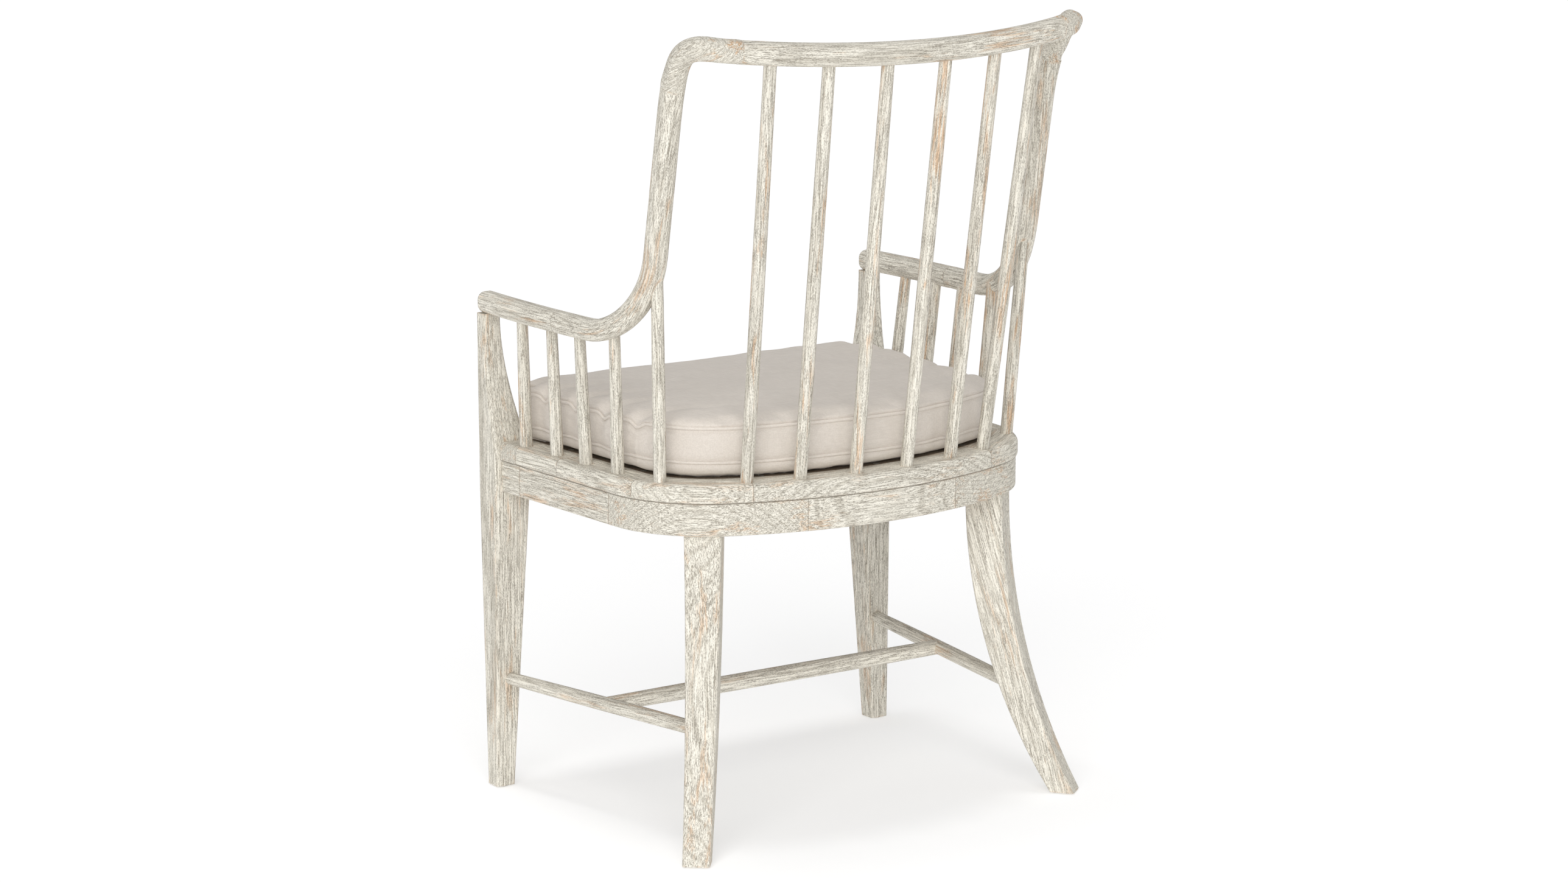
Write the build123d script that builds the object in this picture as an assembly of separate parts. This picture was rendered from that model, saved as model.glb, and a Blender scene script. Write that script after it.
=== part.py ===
from build123d import *
import math
import os

# A spindle-back wooden armchair with a loose seat cushion, in millimetres.
# The sitter faces -Y, +X is the sitter's left and the floor is z = 0.

# Seat
SEAT_TOP = 455.0
RING_THICKNESS = 23.0
APRON_HEIGHT = 41.0
APRON_THICKNESS = 22.0
APRON_TOP = SEAT_TOP - RING_THICKNESS
APRON_BOTTOM = APRON_TOP - APRON_HEIGHT
RING_OVERHANG = 2.5
RING_LEDGE_INSET = 52.0
RING_OPENING_INSET = 40.0
RING_TOP_EDGE = 8.0
RING_BOTTOM_EDGE = 2.5
APRON_BOTTOM_EDGE = 3.0
RAIL_TENON = 4.0
PANEL_THICKNESS = 12.0
PANEL_GAP = 0.5

# Seat plan, taken at the outer face of the apron
SEAT_FRONT_Y = -262.0
SEAT_FRONT_HALF_WIDTH = 302.5
SEAT_SIDE_TAPER = 1.9
SEAT_CORNER_RADIUS = 142.0
SEAT_BACK_RADIUS = 532.0
SEAT_BACK_Y = 196.8

# Glue joints of the seat
RING_JOINTS_Y = (-188.0, -95.0, 63.0)
RING_BACK_JOINT_X = 180.0
APRON_JOINTS_Y = (-183.0, 16.0)
APRON_BACK_JOINT_X = 112.0

# Arms and back
RAIL_SIZE = 27.5
RAIL_CORNER = 11.0
ARM_HEIGHT = 631.0
ARM_FRONT_Y = -267.5
ARM_END_EDGE = 7.0
ARM_FRONT_X = 296.5
ARM_MID_X = 301.5
ARM_REAR_X = 299.0
ARM_REAR_Y = -17.0
ARM_JOINT_Y = -79.0
BEND_RADIUS = 125.0
POST_X = 280.5
POST_LEAN = 10.4
POST_JOINT_HEIGHT = 945.0
CORNER_START_HEIGHT = 890.0
CORNER_RISE = 121.0
CORNER_REACH = 71.0
CREST_END = (235.0, 221.0, 987.5)
CREST_MIDDLE = (0.0, 253.2, 976.7)

# Stations of the lofted rails, about 16 mm apart so that the surfaces stay fair
ARM_STEPS = 16
BEND_STEPS = 11
POST_STEPS = 10
CORNER_STEPS = 10
CREST_STEPS = 8

# Spindles: foot on the seat ring, head inside a rail
ARM_SPINDLE_FEET_Y = (-188.6, -118.4, -53.5, 16.0)
ARM_SPINDLE_HEADS = ((298.5, -174.5), (297.5, -106.0), (294.7, -45.5), (288.5, 25.5))
SPINDLE_INSET = 14.0
BACK_SPINDLE_FEET_X = (38.5, 114.0, 179.5)
BACK_SPINDLE_HEADS_X = (42.5, 124.0, 198.0)
CORNER_SPINDLE_FOOT = (265.0, 89.0)
CORNER_SPINDLE_HEAD = (279.0, 106.5, 738.0)
BACK_SPINDLE_RADII = (8.0, 8.4, 7.8)
CORNER_SPINDLE_RADII = (7.8, 8.0, 7.2)
ARM_SPINDLE_RADII = (8.3, 7.8, 6.9)
SPINDLE_SOCKET_DEPTH = 16.0
SPINDLE_BELLY = 0.45
SEARCH_STEPS = 400

# Legs
GLIDE_THICKNESS = 2.0
GLIDE_RADIUS = 9.0
NAIL_RADIUS = 1.4
NAIL_LENGTH = 14.0
FRONT_FOOT = (283.9, 310.3, -255.0, -229.0)
FRONT_LEG_AT_APRON = (258.5, 310.8, -266.0, -223.9)
FRONT_POST_TOP = (284.5, 310.5, -267.5, -249.5)
LEG_EDGE = 4.0
LEG_MIDDLE = 200.0
LEG_HOUSING = 10.0
POST_START = SEAT_TOP - 15.0
POST_STATIONS = (465.0, 490.0, 515.0, 545.0, 580.0)
POST_TENON_RISE = 4.0
POST_TENON_LENGTH = 12.0
REAR_LEG_TURN = 39.0
REAR_LEG_TOP = (216.8, 113.1)
REAR_LEG_WIDTHS = (46.0, 34.0)
REAR_LEG_DEPTH = 48.0
REAR_LEG_OUTER_RADIUS = 823.0
REAR_LEG_INNER_RADIUS = 724.0
STRETCHER_FRONT = (290.5, -229.0, 144.0)
STRETCHER_REAR = (226.5, 139.0, 145.0)
SIDE_STRETCHER_RADII = (8.0, 9.2, 8.8)
CROSS_STRETCHER_RADII = (9.6, 10.8, 9.6)
CROSS_STRETCHER_Y = -46.0
TENON_RADIUS = 6.0
TENON_LENGTH = 14.0
REAR_TENON_LENGTH = 6.0
CROSS_TENON_RADIUS = 4.5
STRETCHER_TRIM = 60.0

# Cushion
CUSHION_INSET = 23.5
CUSHION_BOTTOM = SEAT_TOP + 0.5
CUSHION_TOP = 527.0
CUSHION_FRONT_Y = -258.0
CUSHION_NOTCH = (258.0, -218.0)
CUSHION_PLAN_EDGE = 6.0
CUSHION_EDGE = 5.5

# Fixings inside the seat
BLOCK_HEIGHT = 36.0
BLOCK_COVER = 18.0
SCREW_RADIUS = 2.0
SCREW_HEAD_RADIUS = 4.0
SCREW_HEAD_HEIGHT = 2.5
PANEL_SCREW_COUNT = 10
PANEL_SCREW_LENGTH = 21.0
REAR_SCREW_LENGTH = 30.0
FRONT_SCREW_LENGTH = 38.0
BLOCK_REACH = 200.0
REAR_BLOCK_WIDTH = 150.0
FRONT_BLOCK_DEPTH = 70.0

# Half size of the cutting blocks, well beyond the chair
BEYOND = 450.0

SIDES = (("left", 1), ("right", -1))


def mirrored(shape):
    """The same piece on the sitter's right."""
    return shape.mirror(Plane.YZ)


def sided(shape, sign):
    return shape if sign > 0 else mirrored(shape)


# ---------------------------------------------------------------- seat plan

def corner_centre():
    """Centre of the rear corner arc, tangent to the side line and to the bowed back."""
    taper = math.radians(SEAT_SIDE_TAPER)
    normal = Vector(math.cos(taper), math.sin(taper))
    along = Vector(-math.sin(taper), math.cos(taper))
    front = Vector(SEAT_FRONT_HALF_WIDTH, SEAT_FRONT_Y)
    reach = normal.dot(front) - SEAT_CORNER_RADIUS
    bow = Vector(0, SEAT_BACK_Y - SEAT_BACK_RADIUS)
    across = reach - normal.dot(bow)
    gap = SEAT_BACK_RADIUS - SEAT_CORNER_RADIUS
    return bow + normal * across + along * math.sqrt(gap ** 2 - across ** 2), normal


def seat_face(inset, front_y=SEAT_FRONT_Y):
    """D-shaped seat plan, `inset` inside the outer face of the apron."""
    centre, normal = corner_centre()
    bow = Vector(0, SEAT_BACK_Y - SEAT_BACK_RADIUS)
    radius = SEAT_CORNER_RADIUS - inset
    back = (centre - bow).normalized()
    middle = (normal + back).normalized()
    side = centre + normal * radius
    rear = centre + back * radius
    along = Vector(-normal.Y, normal.X)
    front = side - along * ((side.Y - front_y) / along.Y)
    corner = centre + middle * radius
    right = [Vector(-p.X, p.Y) for p in (front, side, corner, rear)]
    edges = [
        Line(front, side),
        ThreePointArc(side, corner, rear),
        ThreePointArc(rear, Vector(0, SEAT_BACK_Y - inset), right[3]),
        ThreePointArc(right[3], right[2], right[1]),
        Line(right[1], right[0]),
        Line(right[0], front),
    ]
    return make_face(edges)


def slab(face, bottom, top):
    return extrude(Pos(0, 0, bottom) * face, top - bottom)


def y_band(low, high):
    """A tall block that holds everything between two planes across the chair."""
    return Pos(0, (low + high) / 2, SEAT_TOP / 2) * Box(2 * BEYOND, high - low, 2 * SEAT_TOP)


def back_wedge(joint_x):
    """A wedge from the bow's centre through the back joints, for joints square to the bow."""
    bow_y = SEAT_BACK_Y - SEAT_BACK_RADIUS
    slope = joint_x / math.sqrt(SEAT_BACK_RADIUS ** 2 - joint_x ** 2)
    reach = 2 * SEAT_BACK_RADIUS
    far_y = bow_y + reach
    outline = Polyline((0, bow_y), (reach * slope, far_y), (-reach * slope, far_y), close=True)
    return extrude(make_face(outline), 2 * SEAT_TOP)


def halves(name, piece):
    """Split a symmetric piece into its left and right halves."""
    left = piece & (Pos(BEYOND, 0, SEAT_TOP) * Box(2 * BEYOND, 2 * BEYOND, 4 * SEAT_TOP))
    return {name + "_left": left, name + "_right": mirrored(left)}


def seat_ring():
    """Upper seat frame: eight glued segments, rabbeted for the seat panel."""
    outer = slab(seat_face(-RING_OVERHANG, SEAT_FRONT_Y - RING_OVERHANG), APRON_TOP, SEAT_TOP)
    ledge = SEAT_TOP - PANEL_THICKNESS
    rail = SEAT_FRONT_Y + RING_LEDGE_INSET
    opening = SEAT_FRONT_Y + RING_OPENING_INSET
    ring = outer - slab(seat_face(RING_LEDGE_INSET, rail), APRON_TOP, SEAT_TOP)
    ring -= slab(seat_face(RING_OPENING_INSET, opening), ledge, SEAT_TOP)
    rim = outer.edges().group_by(Axis.Z)
    shaped = fillet(rim[-1], RING_TOP_EDGE)
    shaped = fillet(shaped.edges().group_by(Axis.Z)[0], RING_BOTTOM_EDGE)
    ring = ring & shaped
    y1, y2, y3 = RING_JOINTS_Y
    rear = ring & y_band(y3, BEYOND)
    wedge = back_wedge(RING_BACK_JOINT_X)
    pieces = {"ring_front": ring & y_band(-BEYOND, y1), "ring_back": rear & wedge}
    pieces.update(halves("ring_side_front", ring & y_band(y1, y2)))
    pieces.update(halves("ring_side_rear", ring & y_band(y2, y3)))
    pieces.update(halves("ring_corner", rear - wedge))
    return pieces


def apron():
    """Apron under the ring: glued segments, with the front rail between the legs."""
    outer = slab(seat_face(0), APRON_BOTTOM, APRON_TOP)
    shaped = fillet(outer.edges().group_by(Axis.Z)[0], APRON_BOTTOM_EDGE)
    inside = seat_face(APRON_THICKNESS, SEAT_FRONT_Y + APRON_THICKNESS)
    band = shaped - slab(inside, APRON_BOTTOM, APRON_TOP)
    y1, y2 = APRON_JOINTS_Y
    front = band & y_band(-BEYOND, y1)
    rail_end = FRONT_LEG_AT_APRON[0] + RAIL_TENON
    rail = front & (Pos(0, -SEAT_TOP, SEAT_TOP) * Box(2 * rail_end, 2 * SEAT_TOP, 4 * SEAT_TOP))
    rear = band & y_band(y2, BEYOND)
    wedge = back_wedge(APRON_BACK_JOINT_X)
    pieces = {"apron_front": rail, "apron_back": rear & wedge}
    pieces.update(halves("apron_block", front & y_band(FRONT_LEG_AT_APRON[3] - LEG_HOUSING, y1)))
    pieces.update(halves("apron_side", band & y_band(y1, y2)))
    pieces.update(halves("apron_corner", rear - wedge))
    return pieces


# ---------------------------------------------------------------- arms and back

def rail_section(frame, size=RAIL_SIZE, corner=RAIL_CORNER):
    """Rounded square section, placed square to the rail at one frame."""
    point, tangent, side = frame
    return Plane(origin=point, x_dir=side, z_dir=tangent) * RectangleRounded(size, size, corner)


def square_side(side, tangent):
    return (side - tangent * side.dot(tangent)).normalized()


def arm_curve():
    return ThreePointArc(
        (ARM_FRONT_X, ARM_FRONT_Y, ARM_HEIGHT),
        (ARM_MID_X, (ARM_FRONT_Y + ARM_REAR_Y) / 2, ARM_HEIGHT),
        (ARM_REAR_X, ARM_REAR_Y, ARM_HEIGHT),
    )


def post_point(height):
    """Point on the leaning back post's centre line."""
    lean = math.radians(POST_LEAN)
    turn = math.pi / 2 - lean
    foot_y = ARM_REAR_Y + BEND_RADIUS * math.tan(turn / 2)
    return Vector(POST_X, foot_y + math.tan(lean) * (height - ARM_HEIGHT), height)


def crest_curve():
    left = Vector(*CREST_END)
    return ThreePointArc(left, Vector(*CREST_MIDDLE), Vector(-left.X, left.Y, left.Z))


def side_frames():
    """Frames along one side: arm, upward bend, back post and crest corner, front to top."""
    outward = Vector(1, 0, 0)
    frames = []
    arm = arm_curve()
    for step in range(ARM_STEPS + 1):
        frames.append((arm @ (step / ARM_STEPS), Vector(0, 1, 0), outward))
    lean = math.radians(POST_LEAN)
    turn = math.pi / 2 - lean
    drift = ARM_REAR_X - POST_X
    for step in range(1, BEND_STEPS + 1):
        part = step / BEND_STEPS
        angle = turn * part
        ease = part * part * (3 - 2 * part)
        place = Vector(
            ARM_REAR_X - drift * ease,
            ARM_REAR_Y + BEND_RADIUS * math.sin(angle),
            ARM_HEIGHT + BEND_RADIUS * (1 - math.cos(angle)),
        )
        tangent = Vector(0, math.cos(angle), math.sin(angle))
        frames.append((place, tangent, outward))
    up = Vector(0, math.sin(lean), math.cos(lean))
    low = frames[-1][0].Z
    for step in range(1, POST_STEPS):
        height = low + (CORNER_START_HEIGHT - low) * step / POST_STEPS
        frames.append((post_point(height), up, outward))
    start = post_point(CORNER_START_HEIGHT)
    crest = crest_curve()
    end = crest @ 0
    away = (crest % 0) * -1
    corner = Bezier(start, start + up * CORNER_RISE, end + away * CORNER_REACH, end)
    for step in range(CORNER_STEPS + 1):
        part = step / CORNER_STEPS
        tangent = corner % part
        side = square_side(outward * (1 - part) + up * part, tangent)
        frames.append((corner @ part, tangent, side))
    return frames


def crest_frames():
    crest = crest_curve()
    up = Vector(0, math.sin(math.radians(POST_LEAN)), math.cos(math.radians(POST_LEAN)))
    frames = []
    for step in range(CREST_STEPS + 1):
        part = step / CREST_STEPS
        tangent = crest % part
        frames.append((crest @ part, tangent, square_side(up, tangent)))
    return frames


def nearest(frames, axis, value):
    return min(range(len(frames)), key=lambda i: abs(tuple(frames[i][0])[axis] - value))


def rails():
    """The continuous line of arm rail, back post and crest corner on each side, and the crest."""
    frames = side_frames()
    arm_joint = nearest(frames[:ARM_STEPS + 1], 1, ARM_JOINT_Y)
    post_joint = nearest(frames, 2, POST_JOINT_HEIGHT)
    arm = loft([rail_section(frame) for frame in frames[:arm_joint + 1]])
    arm = fillet(arm.edges().group_by(Axis.Y)[0], ARM_END_EDGE)
    post = loft([rail_section(frame) for frame in frames[arm_joint:post_joint + 1]])
    corner = loft([rail_section(frame) for frame in frames[post_joint:]])
    crest = loft([rail_section(frame) for frame in crest_frames()])
    pieces = {"crest_rail": crest}
    for side, sign in SIDES:
        pieces["arm_rail_" + side] = sided(arm, sign)
        pieces["back_post_" + side] = sided(post, sign)
        pieces["crest_corner_" + side] = sided(corner, sign)
    return pieces


# ---------------------------------------------------------------- spindles and stretchers

def turned_bar(start, end, radii):
    """Round bar with its three radii at the start, the middle and the end."""
    start, end = Vector(*start), Vector(*end)
    length = (end - start).length
    first, middle, last = radii
    profile = [
        Spline((first, 0), (middle, length * SPINDLE_BELLY), (last, length)),
        Line((last, length), (0, length)),
        Line((0, length), (0, 0)),
        Line((0, 0), (first, 0)),
    ]
    bar = revolve(Plane.XZ * make_face(profile), Axis.Z)
    return Plane(origin=start, z_dir=end - start) * bar


def spindle(foot, head, radii):
    """Spindle from its socket in the seat ring to its socket in a rail."""
    foot, head = Vector(*foot), Vector(*head)
    along = (head - foot).normalized()
    return turned_bar(foot - along * SPINDLE_SOCKET_DEPTH, head, radii)


def back_foot(x):
    reach = SEAT_BACK_RADIUS - SPINDLE_INSET
    return (x, SEAT_BACK_Y - SEAT_BACK_RADIUS + math.sqrt(reach ** 2 - x ** 2), SEAT_TOP)


def arm_foot(y):
    slope = math.tan(math.radians(SEAT_SIDE_TAPER))
    return (SEAT_FRONT_HALF_WIDTH - slope * (y - SEAT_FRONT_Y) - SPINDLE_INSET, y, SEAT_TOP)


def crest_point(x):
    crest = crest_curve()
    steps = (step / SEARCH_STEPS for step in range(SEARCH_STEPS + 1))
    part = min(steps, key=lambda t: abs((crest @ t).X - x))
    return crest @ part


def arm_height(y):
    """Height of the centre line of the arm or of its upward bend, above depth y."""
    frames = side_frames()
    low = max(i for i in range(ARM_STEPS + BEND_STEPS) if frames[i][0].Y <= y)
    before, after = frames[low][0], frames[low + 1][0]
    part = (y - before.Y) / (after.Y - before.Y)
    return (before + (after - before) * part).Z


def spindles():
    pieces = {}
    for side, sign in SIDES:
        for number, (foot_x, head_x) in enumerate(zip(BACK_SPINDLE_FEET_X, BACK_SPINDLE_HEADS_X), 1):
            bar = spindle(back_foot(foot_x), crest_point(head_x), BACK_SPINDLE_RADII)
            pieces[f"back_spindle_{side}_{number}"] = sided(bar, sign)
        bar = spindle((*CORNER_SPINDLE_FOOT, SEAT_TOP), CORNER_SPINDLE_HEAD, CORNER_SPINDLE_RADII)
        pieces[f"corner_spindle_{side}"] = sided(bar, sign)
        for number, (foot_y, head) in enumerate(zip(ARM_SPINDLE_FEET_Y, ARM_SPINDLE_HEADS), 1):
            bar = spindle(arm_foot(foot_y), (*head, arm_height(head[1])), ARM_SPINDLE_RADII)
            pieces[f"arm_spindle_{side}_{number}"] = sided(bar, sign)
    return pieces


def stretchers():
    """Two side stretchers tenoned into the legs, and a cross stretcher tenoned into them."""
    front = Vector(*STRETCHER_FRONT)
    rear = Vector(*STRETCHER_REAR)
    along = (rear - front).normalized()
    bar = turned_bar(front, rear, SIDE_STRETCHER_RADII)
    for point, length in ((front, TENON_LENGTH), (rear, REAR_TENON_LENGTH)):
        bar += Plane(origin=point, z_dir=along) * Cylinder(TENON_RADIUS, 2 * length)
    part = (CROSS_STRETCHER_Y - front.Y) / (rear.Y - front.Y)
    meet = front + (rear - front) * part
    cross = turned_bar((meet.X, meet.Y, meet.Z), (-meet.X, meet.Y, meet.Z), CROSS_STRETCHER_RADII)
    braces = {}
    for side, sign in SIDES:
        place = Vector(sign * meet.X, meet.Y, meet.Z)
        side_bar = sided(bar, sign)
        tenon = Plane(origin=place, z_dir=(1, 0, 0)) * Cylinder(CROSS_TENON_RADIUS, 2 * TENON_LENGTH)
        cross = cross - side_bar
        trim = Box(2 * meet.X + CROSS_TENON_RADIUS, STRETCHER_TRIM, STRETCHER_TRIM)
        cross += tenon & (Pos(0, meet.Y, meet.Z) * trim)
        braces["side_stretcher_" + side] = side_bar
    for side, _ in SIDES:
        braces["side_stretcher_" + side] -= cross
    return {**braces, "cross_stretcher": cross}


# ---------------------------------------------------------------- legs

def front_leg_section(height):
    """Sides of the front leg at one height: inner x, outer x, front y, rear y."""
    if height <= APRON_BOTTOM:
        part = height / APRON_BOTTOM
        low, high = FRONT_FOOT, FRONT_LEG_AT_APRON
    elif height <= POST_START:
        part = 0.0
        low, high = FRONT_LEG_AT_APRON, FRONT_LEG_AT_APRON
    else:
        span = ARM_HEIGHT - RAIL_SIZE / 2 - POST_START
        part = math.sin(math.pi / 2 * (height - POST_START) / span)
        low, high = FRONT_LEG_AT_APRON, FRONT_POST_TOP
    return [a + (b - a) * part for a, b in zip(low, high)]


def front_leg():
    """Tapered front leg that carries on above the seat as the arm's front post."""
    post_top = ARM_HEIGHT - RAIL_SIZE / 2
    heights = [GLIDE_THICKNESS, LEG_MIDDLE, APRON_BOTTOM, POST_START, *POST_STATIONS, post_top]
    sections = []
    for height in heights:
        inner, outer, front, rear = front_leg_section(height)
        place = Pos((inner + outer) / 2, (front + rear) / 2, height)
        sections.append(place * RectangleRounded(outer - inner, rear - front, LEG_EDGE))
    leg = loft(sections[:3], ruled=True) + loft(sections[2:4], ruled=True) + loft(sections[3:])
    inner, outer, front, rear = front_leg_section(post_top)
    tenon = Pos((inner + outer) / 2, (front + rear) / 2, post_top + POST_TENON_RISE)
    tenon = tenon * Cylinder(TENON_RADIUS, POST_TENON_LENGTH)
    return leg + tenon


def rear_leg_direction():
    turn = math.radians(REAR_LEG_TURN)
    return Vector(math.sin(turn), math.cos(turn))


def rear_leg_faces(height):
    """How far the outer and the inner face of the sabre leg stand out at one height."""
    drop = APRON_BOTTOM - height
    half = REAR_LEG_DEPTH / 2
    outer = half + REAR_LEG_OUTER_RADIUS - math.sqrt(REAR_LEG_OUTER_RADIUS ** 2 - drop ** 2)
    inner = -half + REAR_LEG_INNER_RADIUS - math.sqrt(REAR_LEG_INNER_RADIUS ** 2 - drop ** 2)
    return outer, inner


def rear_leg():
    """Sabre leg, turned to face out of the seat's corner, and its stub behind the apron."""
    top = Vector(*REAR_LEG_TOP)
    wide, narrow = REAR_LEG_WIDTHS
    sections = []
    steps = 8
    for step in range(steps + 1):
        height = APRON_BOTTOM + (GLIDE_THICKNESS - APRON_BOTTOM) * step / steps
        outer, inner = rear_leg_faces(height)
        width = wide + (narrow - wide) * (APRON_BOTTOM - height) / APRON_BOTTOM
        centre = top + rear_leg_direction() * ((outer + inner) / 2)
        place = Pos(centre.X, centre.Y, height) * Rot(0, 0, -REAR_LEG_TURN)
        sections.append(place * RectangleRounded(width, outer - inner, LEG_EDGE))
    stub = Box(wide - 2 * LEG_EDGE, REAR_LEG_DEPTH - LEG_EDGE, APRON_HEIGHT)
    stub = Pos(top.X, top.Y, APRON_BOTTOM + APRON_HEIGHT / 2) * Rot(0, 0, -REAR_LEG_TURN) * stub
    return loft(sections), stub & slab(seat_face(APRON_THICKNESS), APRON_BOTTOM, APRON_TOP)


# ---------------------------------------------------------------- inside the seat

def seat_panel():
    """Plywood panel that drops into the rabbet of the seat ring."""
    gap = RING_OPENING_INSET + PANEL_GAP
    return slab(seat_face(gap, SEAT_FRONT_Y + gap), SEAT_TOP - PANEL_THICKNESS, SEAT_TOP)


def corner_blocks():
    """Glue blocks that fill the corners between apron and legs: rear and front, left side."""
    bottom = APRON_TOP - BLOCK_HEIGHT
    inside = slab(seat_face(APRON_THICKNESS, SEAT_FRONT_Y + APRON_THICKNESS), bottom, APRON_TOP)
    out = rear_leg_direction()
    rear_at = Vector(*REAR_LEG_TOP) + out * (BLOCK_REACH / 2 - REAR_LEG_DEPTH / 2 - BLOCK_COVER)
    rear_block = Box(REAR_BLOCK_WIDTH, BLOCK_REACH, BLOCK_REACH)
    rear_cut = Pos(rear_at.X, rear_at.Y, bottom) * Rot(0, 0, -REAR_LEG_TURN) * rear_block
    leg_corner = Vector(FRONT_LEG_AT_APRON[0], FRONT_LEG_AT_APRON[3])
    front_at = leg_corner + Vector(1, -1).normalized() * (BLOCK_REACH / 2 - BLOCK_COVER)
    front_block = Box(BLOCK_REACH, BLOCK_REACH, BLOCK_REACH)
    front_cut = Pos(front_at.X, front_at.Y, bottom) * Rot(0, 0, -45) * front_block
    front_cut = front_cut & y_band(-BEYOND, FRONT_LEG_AT_APRON[3] + FRONT_BLOCK_DEPTH)
    return inside & rear_cut, inside & (front_cut - rear_cut)


def screw(place, direction, length):
    """Countersunk wood screw whose head is at `place`."""
    upward = (Align.CENTER, Align.CENTER, Align.MIN)
    head = Cone(SCREW_HEAD_RADIUS, SCREW_RADIUS, SCREW_HEAD_HEIGHT, align=upward)
    shank = Cylinder(SCREW_RADIUS, length, align=upward)
    return Plane(origin=place, z_dir=direction) * (head + shank)


def panel_screws():
    """Screws through the panel into the ledge of the ring, evenly round it."""
    inset = (RING_OPENING_INSET + RING_LEDGE_INSET) / 2
    around = slab(seat_face(inset, SEAT_FRONT_Y + inset), 0, SEAT_TOP)
    outline = around.faces().sort_by(Axis.Z)[-1].outer_wire()
    count = PANEL_SCREW_COUNT
    places = [outline @ ((step + 0.5) / count) for step in range(count)]
    return [screw(place, Vector(0, 0, -1), PANEL_SCREW_LENGTH) for place in places]


def block_screws():
    """One screw through each left corner block into its leg."""
    height = APRON_TOP - BLOCK_HEIGHT / 2
    out = rear_leg_direction()
    rear = Vector(*REAR_LEG_TOP, height) - out * (REAR_LEG_DEPTH / 2 + BLOCK_COVER)
    slant = Vector(1, -1).normalized()
    front = Vector(FRONT_LEG_AT_APRON[0], FRONT_LEG_AT_APRON[3], height) - slant * BLOCK_COVER
    return [screw(rear, out, REAR_SCREW_LENGTH), screw(front, slant, FRONT_SCREW_LENGTH)]


def glides():
    """Nail-on glide under each left foot."""
    front = Vector(sum(FRONT_FOOT[:2]) / 2, sum(FRONT_FOOT[2:]) / 2)
    outer, inner = rear_leg_faces(GLIDE_THICKNESS)
    rear = Vector(*REAR_LEG_TOP) + rear_leg_direction() * ((outer + inner) / 2)
    pieces = []
    for place in (front, rear):
        disc = Pos(place.X, place.Y, GLIDE_THICKNESS / 2) * Cylinder(GLIDE_RADIUS, GLIDE_THICKNESS)
        nail_at = Pos(place.X, place.Y, GLIDE_THICKNESS - 1 + NAIL_LENGTH / 2)
        nail = nail_at * Cylinder(NAIL_RADIUS, NAIL_LENGTH)
        pieces.append(disc + nail)
    return pieces


def seat_cushion():
    """Loose box cushion as a plain closed solid, notched round the arm posts."""
    pad = slab(seat_face(CUSHION_INSET, CUSHION_FRONT_Y), CUSHION_BOTTOM, CUSHION_TOP)
    notch = Box(BEYOND, BEYOND, BEYOND, align=(Align.MIN, Align.MAX, Align.CENTER))
    for sign in (1, -1):
        pad -= sided(Pos(CUSHION_NOTCH[0], CUSHION_NOTCH[1], SEAT_TOP) * notch, sign)
    pad = fillet(pad.edges().filter_by(Axis.Z), CUSHION_PLAN_EDGE)
    pad = fillet(pad.edges().group_by(Axis.Z)[-1], CUSHION_EDGE)
    return fillet(pad.edges().group_by(Axis.Z)[0], CUSHION_EDGE)


# ---------------------------------------------------------------- assembly

def touching(piece, tool):
    a, b = piece.bounding_box(), tool.bounding_box()
    return all(
        low_a <= high_b and low_b <= high_a
        for low_a, high_a, low_b, high_b in zip(a.min, a.max, b.min, b.max)
    )


def cut(pieces, tools):
    """Cut the seats of `tools` into every piece that they reach."""
    for name in pieces:
        for tool in tools:
            if touching(pieces[name], tool):
                pieces[name] = pieces[name] - tool


def build():
    """Every node of the chair, by name."""
    ring = seat_ring()
    skirt = apron()
    rail = rails()
    bars = spindles()
    braces = stretchers()
    legs, blocks = {}, {}
    front, (rear, stub) = front_leg(), rear_leg()
    rear_block, front_block = corner_blocks()
    for side, sign in SIDES:
        legs["front_leg_" + side] = sided(front, sign)
        legs["rear_leg_" + side] = sided(rear + stub, sign)
        blocks["corner_block_front_" + side] = sided(front_block, sign)
        blocks["corner_block_rear_" + side] = sided(rear_block, sign)
    into_panel = panel_screws()
    into_legs = [sided(piece, sign) for piece in block_screws() for _, sign in SIDES]
    feet = [sided(piece, sign) for piece in glides() for _, sign in SIDES]
    panel = {"seat_panel": seat_panel()}

    front_rail = {"apron_front": skirt.pop("apron_front")}
    cut(legs, front_rail.values())
    cut(skirt, legs.values())
    cut(ring, legs.values())
    cut(blocks, [*legs.values(), *front_rail.values()])
    cut(rail, legs.values())
    cut(ring, bars.values())
    cut(rail, bars.values())
    cut(legs, braces.values())
    cut(legs, feet + into_legs)
    cut(blocks, into_legs)
    cut(ring, into_panel)
    cut(panel, into_panel)

    nodes = {**ring, **skirt, **front_rail, **rail, **bars, **braces, **legs, **blocks, **panel}
    nodes["panel_screws"] = Compound(into_panel)
    nodes["block_screws"] = Compound(into_legs)
    nodes["glides"] = Compound(feet)
    nodes["seat_cushion"] = seat_cushion()
    return nodes


if __name__ == "__main__":
    os.makedirs("parts", exist_ok=True)
    for node, shape in build().items():
        export_step(shape, f"parts/{node}.step")
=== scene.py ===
import math

import bmesh
import bpy
import numpy as np
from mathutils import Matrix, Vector, noise


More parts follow.
